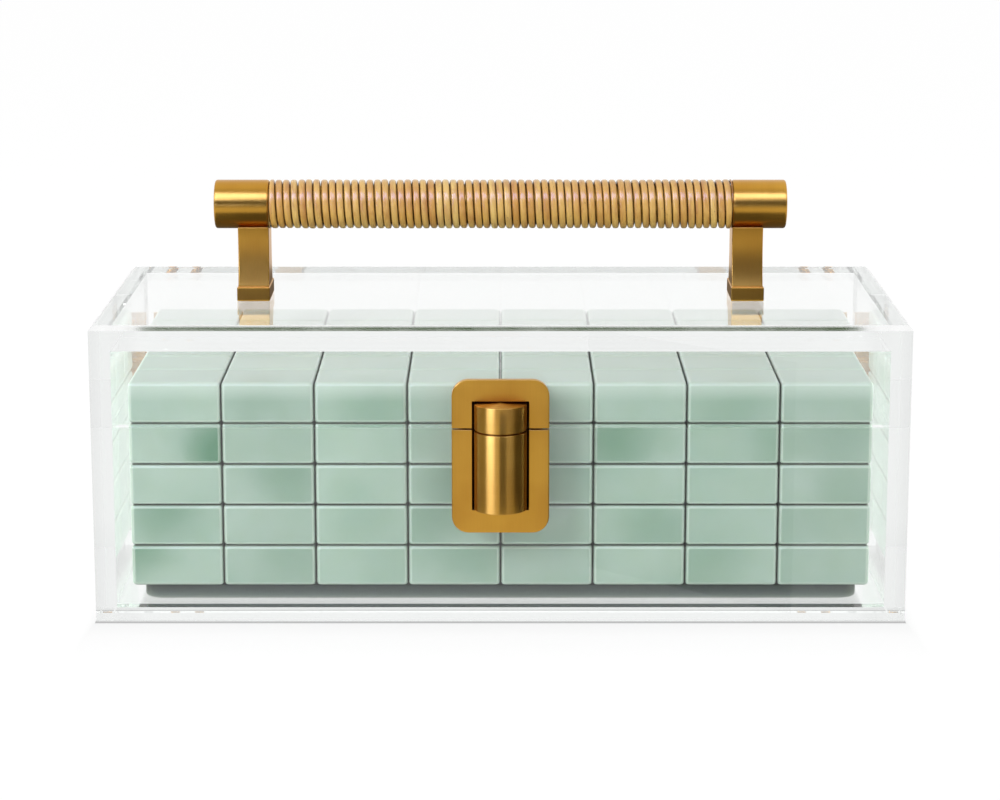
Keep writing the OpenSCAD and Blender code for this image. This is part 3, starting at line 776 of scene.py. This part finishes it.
def make_posts(material):
    """The two posts of the handle, each a waisted column on a flat foot."""
    for side in ("left", "right"):
        node = f"handle_post_{side}"
        low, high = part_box(node)
        cap_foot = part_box(f"handle_cap_{side}")[0].z
        middle_x, middle_y = (low.x + high.x) / 2, (low.y + high.y) / 2
        half = POST_WIDTH / 2 * MM
        foot_top = low.z + FOOT_HEIGHT * MM
        outline = post_outline(middle_y, foot_top - FOOT_HEIGHT / 2 * MM,
                               cap_foot + POST_SHOULDER * MM, cap_foot - POST_WAIST / 2 * MM)
        column = prism_mesh(node, outline, 0, middle_x - half, middle_x + half)
        foot = box_mesh("foot", (low.x, low.y, low.z + SKIN), (high.x, high.y, foot_top))
        piece = new_object(f"post_{side}", joined(column, foot), material)
        bevel_piece(piece, POST_EDGE * MM)
        declare(piece, "lid", "polished_brass", node)


def make_caps(material):
    for side in ("left", "right"):
        node = f"handle_cap_{side}"
        low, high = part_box(node)
        profile = rounded_profile((high.z - low.z) / 2, high.x - low.x, CAP_EDGE * MM, 5)
        centre = (low.x, (low.y + high.y) / 2, (low.z + high.z) / 2)
        piece = new_object(f"cap_{side}", lathe_mesh(node, profile, centre, 0), material)
        smooth(piece.data, 50)
        declare(piece, "lid", "polished_brass", node)


def draw_turns(pitch):
    """For each turn of the cane its tone, how far it lies out and how far it lies to one side."""
    draw = random.Random(7)
    return [(min(1.0, max(0.0, draw.gauss(0.38, 0.17))), draw.uniform(-0.12, 0.05) * MM,
             draw.uniform(-0.04, 0.04) * pitch) for _ in range(CANE_TURNS + 3)]


def cane_section(half, rise):
    """The strip's section: (across, out from the axis, groove) from its left edge round."""
    thick = CANE_THICKNESS * MM * rise
    section = []
    for k in range(CANE_ACROSS + 1):
        u = -1 + 2 * k / CANE_ACROSS
        u = math.copysign(abs(u) ** CANE_SPREAD, u)
        section.append((u * half, -thick * (1 - (1 - abs(u) ** CANE_CROWN) ** 0.5), abs(u)))
    under = -thick - CANE_UNDERSIDE * MM
    return section + [(half, under, 1.0), (-half, under, 1.0)]


def tube_faces(lengths, ring):
    """The faces of a closed tube of several lengths, with ring points round each section."""
    faces = [(i * ring + k, i * ring + (k + 1) % ring, (i + 1) * ring + (k + 1) % ring,
              (i + 1) * ring + k) for i in range(lengths) for k in range(ring)]
    first = tuple(range(ring))
    last = tuple(lengths * ring + k for k in reversed(range(ring)))
    return faces + [first, last]


def wind_cane(material):
    """One strip of cane wound round the rod. Each end is cut to a wedge that lies along its cap."""
    cap_left, cap_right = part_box("handle_cap_left"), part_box("handle_cap_right")
    axis_y = (cap_left[0].y + cap_left[1].y) / 2
    axis_z = (cap_left[0].z + cap_left[1].z) / 2
    start_x, end_x = cap_left[1].x + CANE_END_PLAY * MM, cap_right[0].x - CANE_END_PLAY * MM
    outer = (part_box("cane_wrap")[1].z - axis_z) - CANE_SKIN * MM
    pitch = (end_x - start_x) / CANE_TURNS
    turns = draw_turns(pitch)
    points, strip, tone, groove = [], [], [], []
    total = int((CANE_TURNS + CANE_EXTRA) * CANE_STEPS)
    for i in range(total + 1):
        turn_at = i / CANE_STEPS - CANE_LEAD_IN
        turn = int(math.floor(turn_at)) + 1
        part = turn_at + 1 - turn
        ease = part * part * (3 - 2 * part)
        shade, lift, shift = (a * (1 - ease) + b * ease for a, b in zip(turns[turn], turns[turn + 1]))
        angle = math.pi + 2 * math.pi * turn_at
        left = start_x + pitch * max(turn_at, 0.0) + (shift if turn_at > 0 else 0.0)
        right = min(start_x + pitch * (turn_at + 1) + shift, end_x)
        half = max(right - left, CANE_LEAST_WIDTH * MM) * 0.5 * CANE_FILL
        along = turn_at * 2 * math.pi * outer
        for across, out, edge in cane_section(half, min(1.0, CANE_TAPER * half / pitch)):
            points.append(turned(((left + right) / 2, axis_y, axis_z), 0, angle,
                                 outer + lift + out, across))
            strip.append((along, across, 0.0))
            tone.append(shade)
            groove.append(float(edge))
    faces = tube_faces(total, CANE_ACROSS + 3)
    mesh = outward(mesh_from("cane_winding", points, faces))
    smooth(mesh, 60)
    give_attribute(mesh, "strip", strip)
    give_attribute(mesh, "turn_tone", tone)
    give_attribute(mesh, "groove", groove)
    piece = new_object("cane_winding", mesh, material)
    return declare(piece, "lid", "cane", "cane_wrap")


# ---- The latch ----

def make_plates(material, painted_shade_material):
    """The two halves of the latch plate, with the window's sides between them painted dark, as shade.
    """
    low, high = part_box("latch_lower_plate")
    upper_low, upper_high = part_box("latch_upper_plate")
    corner, half = PLATE_CORNER * MM, WINDOW_WIDTH / 2 * MM
    foot, top = window_foot(), window_top()
    lower = arc((high.x - corner, low.z + corner), corner, -90, 0, 10)
    lower += [(high.x, high.z), (half, high.z), (half, foot), (-half, foot)]
    lower += [(-half, high.z), (low.x, high.z)]
    lower += arc((low.x + corner, low.z + corner), corner, 180, 270, 10)
    upper = arc((high.x - corner, upper_high.z - corner), corner, 0, 90, 10)
    upper += arc((low.x + corner, upper_high.z - corner), corner, 90, 180, 10)
    upper += [(low.x, upper_low.z), (-half, upper_low.z), (-half, top), (half, top)]
    upper += [(half, upper_low.z), (high.x, upper_low.z)]
    for name, outline, body in (("lower", lower, "base"), ("upper", upper, "lid")):
        mesh = prism_mesh(f"plate_{name}", outline, 1, low.y, high.y - SKIN)
        piece = new_object(f"plate_{name}", mesh, material)
        bevel_piece(piece, PLATE_EDGE * MM)
        piece.data.materials.append(painted_shade_material)
        reach = SHADE_PAINT_REACH * MM
        for face in piece.data.polygons:
            x, z = abs(face.center.x), face.center.z
            if x < half + reach and foot - reach < z < top + reach and abs(face.normal.y) < 0.5:
                face.material_index = 1
        declare(piece, body, "polished_brass", f"latch_{name}_plate")


def make_fixed_barrel(material):
    """The upper barrel with the block that carries it through the wall."""
    low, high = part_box("latch_fixed_barrel")
    radius = (high.x - low.x) / 2
    centre = (0.0, low.y + radius, low.z)
    profile = rounded_profile(radius, high.z - low.z, BARREL_EDGE * MM, 4)
    mesh = lathe_mesh("barrel_fixed", profile, centre, 2)
    smooth(mesh, 50)
    block_top = high.z - BLOCK_PLAY * MM
    block = box_mesh("block", (-radius / 2, centre[1], low.z), (radius / 2, high.y, block_top))
    piece = new_object("barrel_fixed", joined(mesh, block), material)
    return declare(piece, "lid", "polished_brass", "latch_fixed_barrel")


def make_turning_barrel(material):
    """The lower barrel: hollow, with a bore for its spindle, a slot behind and a keyhole above."""
    low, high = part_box("latch_barrel")
    radius, height = (high.x - low.x) / 2, high.z - low.z
    centre = (0.0, (low.y + high.y) / 2, low.z)
    profile = rounded_profile(radius, height, BARREL_EDGE * MM, 4)
    piece = new_object("barrel_turning", lathe_mesh("barrel_turning", profile, centre, 2), material)
    inner, end, bore = radius - BARREL_WALL * MM, BARREL_END * MM, BORE_RADIUS * MM
    hollow = lathe_mesh("hollow", [(0, end), (inner, end), (inner, height - end), (0, height - end)],
                        centre, 2, 64)
    hole = lathe_mesh("bore", [(0, -MM), (bore, -MM), (bore, end + MM), (0, end + MM)], centre, 2, 48)
    arm_angle = math.degrees(math.asin((ARM_HALF_WIDTH + SCREW_HEAD_RADIUS / 4) * MM / inner))
    fan = [(0.0, 0.0)] + arc((0, 0), 2 * radius, 90 - BARREL_TURN - arm_angle, 90 + arm_angle, 8)
    fan = [(centre[0] + x, centre[1] + y) for x, y in fan]
    slot_foot = low.z + end
    slot = prism_mesh("slot", fan, 2, slot_foot, slot_foot + SLOT_HEIGHT * MM)
    half_x, half_y = (half * MM for half in KEYHOLE_HALF)
    keyhole = box_mesh("keyhole", (-half_x, centre[1] - half_y, high.z - end - MM),
                       (half_x, centre[1] + half_y, high.z + MM))
    cut_out(piece, [hollow, hole, slot, keyhole])
    smooth(piece.data, 50)
    return declare(piece, "barrel", "polished_brass", "latch_barrel")


# ---- The stage, the light and the camera ----

def make_world():
    """White where it is seen directly or through glass. Reflections show a white backdrop behind,
    a soft ceiling, and a darker room in front."""
    world = bpy.data.worlds.new("studio")
    bpy.context.scene.world = world
    tree = Tree(world)
    path = tree.add("LightPath").outputs
    way = tree.axes(tree.add("TexCoord").outputs["Generated"])
    height = tree.maths("ADD", tree.scaled(way["Z"], 0.5), 0.5)
    room = tree.ramp(height, [(0.49, grey(0.10)), (0.66, grey(0.12)), (0.74, grey(0.55)),
                              (0.95, grey(0.70))])
    behind = tree.ramp(tree.maths("ADD", tree.scaled(way["Y"], 0.5), 0.5), [
        (0.38, grey(0.0)), (0.54, grey(1.0))])
    mirrored = tree.mix_colour(behind, room, grey(1.0))
    lighting = tree.add("Background", {"Color": grey(1.0), "Strength": WORLD_LIGHT}).outputs[0]
    reflected = tree.add("Background", {"Color": mirrored, "Strength": 1.0}).outputs[0]
    shown = tree.add("Background", {"Color": grey(1.0), "Strength": 1.0}).outputs[0]
    dim = tree.mix_shader(path["Is Glossy Ray"], lighting, reflected)
    mixed = tree.mix_shader(seen_directly(tree, path), dim, shown)
    tree.links.new(mixed, tree.add("OutputWorld").inputs["Surface"])


def seen_directly(tree, path):
    """1 for rays from the camera, also through glass."""
    return tree.maths("MAXIMUM", path["Is Camera Ray"], path["Is Transmission Ray"])


def painted_contact_shadow(tree, place):
    """A painted soft shadow beside the case, by how far a point lies outside its footprint."""
    half_width, half_depth = CAD_BOX[1].x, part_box("base_floor")[1].y
    beside = tree.maths("SUBTRACT", tree.maths("ABSOLUTE", place["X"]), half_width)
    before = tree.maths("SUBTRACT", tree.maths("ABSOLUTE", place["Y"]), half_depth)
    outside = tree.maths("MAXIMUM", tree.scaled(beside, SHADE_BESIDE), before)
    return tree.ramp(tree.maths("ADD", tree.scaled(outside, SHADE_RISE), 0.1), [
        (0.098, grey(1.0)), (0.10, grey(0.34)), (0.118, grey(0.50)),
        (0.132, grey(0.90)), (0.30, grey(0.955)), (0.80, grey(1.0))])


def make_floor():
    """A plain white floor. What the camera sees of it glows a little and keeps the soft shadow, and
    its glow carries a painted contact shadow round the case.
    """
    size, level = 4.0, -0.05 * MM
    corners = [(-size, -size, level), (size, -size, level), (size, size, level), (-size, size, level)]
    mesh = mesh_from("floor", corners, [(0, 1, 2, 3)])
    material = bpy.data.materials.new("white_floor")
    tree = Tree(material)
    path = tree.add("LightPath").outputs
    place = tree.axes(tree.place())
    along = tree.maths("ADD", tree.scaled(place["Y"], 0.8), 0.9)
    mirrored = tree.ramp(along, [(0.30, grey(0.50)), (0.48, grey(0.82)), (0.72, grey(0.82)),
                                 (0.84, grey(0.92)), (0.88, grey(1.0))])
    gloss = tree.maths("MULTIPLY", path["Is Glossy Ray"], mirrored)
    seen = seen_directly(tree, path)
    strength = tree.scaled(tree.maths("MAXIMUM", seen, gloss), 1.04)
    glow = tree.add("Emission", {"Color": painted_contact_shadow(tree, place), "Strength": strength})
    white = tree.add("BsdfDiffuse", {"Color": grey(0.82)})
    either = tree.maths("MAXIMUM", seen, path["Is Glossy Ray"])
    share = tree.scaled(either, FLOOR_GLOW)
    tree.surface(tree.mix_shader(share, white.outputs[0], glow.outputs[0]))
    new_object("floor", mesh, material)


def hide_from_all_but_reflections(card):
    """Hides a card from every kind of ray but reflections, so that only mirror images show it."""
    for kind in ("camera", "diffuse", "transmission", "volume_scatter", "shadow"):
        setattr(card, "visible_" + kind, False)


def add_card(name, left, right, low, high, strength, soft=False, colour=(1.0, 1.0, 1.0)):
    """An upright card, out of view, that only reflections show. A soft one fades at its sides."""
    points = [(*left, low), (*right, low), (*right, high), (*left, high)]
    mesh = mesh_from(name, points, [(0, 1, 2, 3)])
    material = bpy.data.materials.new(name)
    tree = Tree(material)
    level = strength
    if soft:
        across = tree.axes(tree.add("TexCoord").outputs["Generated"])["X"]
        fade = tree.ramp(across, [(0.0, grey(0.3)), (0.35, grey(0.9)), (0.5, grey(1.0)),
                                  (0.75, grey(0.85)), (1.0, grey(0.25))])
        level = tree.maths("MULTIPLY", fade, strength)
    tree.surface(tree.add("Emission", {"Color": (*colour, 1), "Strength": level}).outputs[0])
    hide_from_all_but_reflections(new_object(name, mesh, material))


def add_sheet(name, low, high, level, strength):
    """A level sheet that only reflections show, and only from above."""
    points = [(low[0], low[1], level), (high[0], low[1], level),
              (high[0], high[1], level), (low[0], high[1], level)]
    mesh = mesh_from(name, points, [(0, 1, 2, 3)])
    material = bpy.data.materials.new(name)
    tree = Tree(material)
    below = tree.add("NewGeometry").outputs["Backfacing"]
    lit_side = tree.add("Emission", {"Color": grey(1.0), "Strength": strength}).outputs[0]
    clear = tree.add("BsdfTransparent").outputs[0]
    tree.surface(tree.mix_shader(below, lit_side, clear))
    hide_from_all_but_reflections(new_object(name, mesh, material))


def make_cards():
    """What the brass and the walls mirror, in metres."""
    add_card("card_line", (-0.0007, -0.0725), (0.0042, -0.0725), 0.036, 0.0705, 0.16)
    add_card("card_beside_left", (-0.0175, -0.0600), (-0.0175, -0.0730), 0.030, 0.080, 0.35)
    add_card("card_beside_right", (0.0175, -0.0730), (0.0175, -0.0600), 0.030, 0.080, 0.10)
    add_card("card_right", (0.030, -0.120), (0.095, -0.062), 0.001, 0.085, 0.24)
    add_card("card_left", (-0.94, -0.42), (-0.42, -0.96), 0.15, 1.50, 9.0, True, COOL_WHITE)
    add_card("card_far_left", (-1.00, 0.25), (-0.94, -0.42), 0.001, 1.30, 0.38)
    add_card("card_over", (-0.80, -0.50), (0.80, -0.50), 0.52, 0.95, 4.0, False, COOL_WHITE)
    add_card("card_strip", (-0.26, -0.10), (0.26, -0.10), 0.137, 0.180, 0.10)
    # painted shade: a dim sheet on the lid under the handle, which the brass mirrors in place of the
    # shade there
    add_sheet("painted_shade_sheet", (-0.125, -0.055), (0.125, 0.050), 0.0982, 0.14)


def add_lamp(name, place, target, size, power):
    """A square lamp that lights things and isn't mirrored in them."""
    data = bpy.data.lights.new(name, "AREA")
    data.shape = "RECTANGLE"
    data.size, data.size_y = size
    data.energy = power
    lamp = bpy.data.objects.new(name, data)
    lamp.visible_glossy = False
    lamp.location = place
    lamp.rotation_euler = (Vector(target) - Vector(place)).to_track_quat("-Z", "Y").to_euler()
    bpy.context.scene.collection.objects.link(lamp)


def make_lamps():
    middle = (0, 0, 0.06)
    add_lamp("key", (-0.75, -0.85, 0.75), middle, (0.5, 0.7), 8.8)
    add_lamp("fill", (0.95, -0.75, 0.45), middle, (0.6, 0.6), 2.5)
    add_lamp("top", (0.0, -0.25, 1.2), middle, (1.0, 0.8), 1.5)
    for side in (-1, 1):
        add_lamp(f"side_{side + 1}", (0.9 * side, 0.25, 0.12), middle, (0.6, 0.4), 6)


def set_up_render():
    """Plain colours, and enough bounces for light that is caught in the clear walls."""
    scene = bpy.context.scene
    scene.view_settings.view_transform = "Standard"
    scene.cycles.max_bounces = 40
    scene.cycles.transmission_bounces = 40
    scene.cycles.glossy_bounces = 24
    scene.cycles.transparent_max_bounces = 40


def make_camera():
    """The camera of the photo: a long lens a little above the case, looking slightly down."""
    data = bpy.data.cameras.new("camera")
    data.sensor_width = 36.0
    data.lens = 105.79
    data.shift_x = -0.0005
    data.clip_start, data.clip_end = 0.01, 50.0
    camera = bpy.data.objects.new("camera", data)
    camera.location = CAMERA_PLACE
    camera.rotation_euler = (math.radians(90 - CAMERA_DOWN), 0, 0)
    bpy.context.scene.collection.objects.link(camera)
    bpy.context.scene.camera = camera


# ---- All together ----

def dress_cad_nodes(brass, shade_painted_brass):
    """Gives the CAD nodes that stay in view their finish. The latch's insides are painted dull and
    dark, as shade.
    """
    for name in ("handle_rod", "latch_lower_screws", "latch_upper_screws", "hinge_lower_leaf_left",
                 "hinge_lower_leaf_right", "hinge_upper_leaf_left", "hinge_upper_leaf_right",
                 "hinge_pin_left", "hinge_pin_right", "hinge_lower_screws", "hinge_upper_screws"):
        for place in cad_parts[name].material_slots:
            place.material = brass
    for name in ("latch_lower_backing", "latch_upper_backing", "latch_spindle", "latch_catch"):
        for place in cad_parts[name].material_slots:
            place.material = shade_painted_brass


def build():
    """Makes the materials and dresses every part of the case."""
    gold_light, gold_dark = (0.67, 0.355, 0.050, 1), (0.59, 0.295, 0.040, 1)
    acrylic = make_acrylic()
    turned_brass = make_brass("turned_brass", (40.0, 40.0, 3000.0), gold_light, gold_dark, 0.38, "Z")
    cap_brass = make_brass("cap_brass", (3000.0, 40.0, 40.0), gold_light, gold_dark, 0.38, "X")
    plate_brass = make_brass("plate_brass", (2500.0, 2500.0, 60.0), gold_light, gold_dark, 0.32)
    # painted shade: a dull, dark brass for the latch's insides and the sides of its gap, standing in
    # for the shade there
    shade_painted_brass = make_brass("shade_painted_brass", (900.0, 900.0, 60.0), (0.11, 0.05, 0.012, 1),
                              (0.07, 0.03, 0.008, 1), 0.5)
    make_lid_shell(acrylic, make_painted_edge(), shade_painted_brass)
    make_base_shell(acrylic, shade_painted_brass)
    make_base_plate(acrylic)
    make_tiles(make_jade())
    make_pad(make_felt())
    make_posts(plate_brass)
    make_caps(cap_brass)
    wind_cane(make_cane_material())
    make_plates(plate_brass, shade_painted_brass)
    make_fixed_barrel(turned_brass)
    make_turning_barrel(turned_brass)
    dress_cad_nodes(plate_brass, shade_painted_brass)


set_up_render()
make_camera()
make_world()
make_floor()
make_cards()
make_lamps()
build()
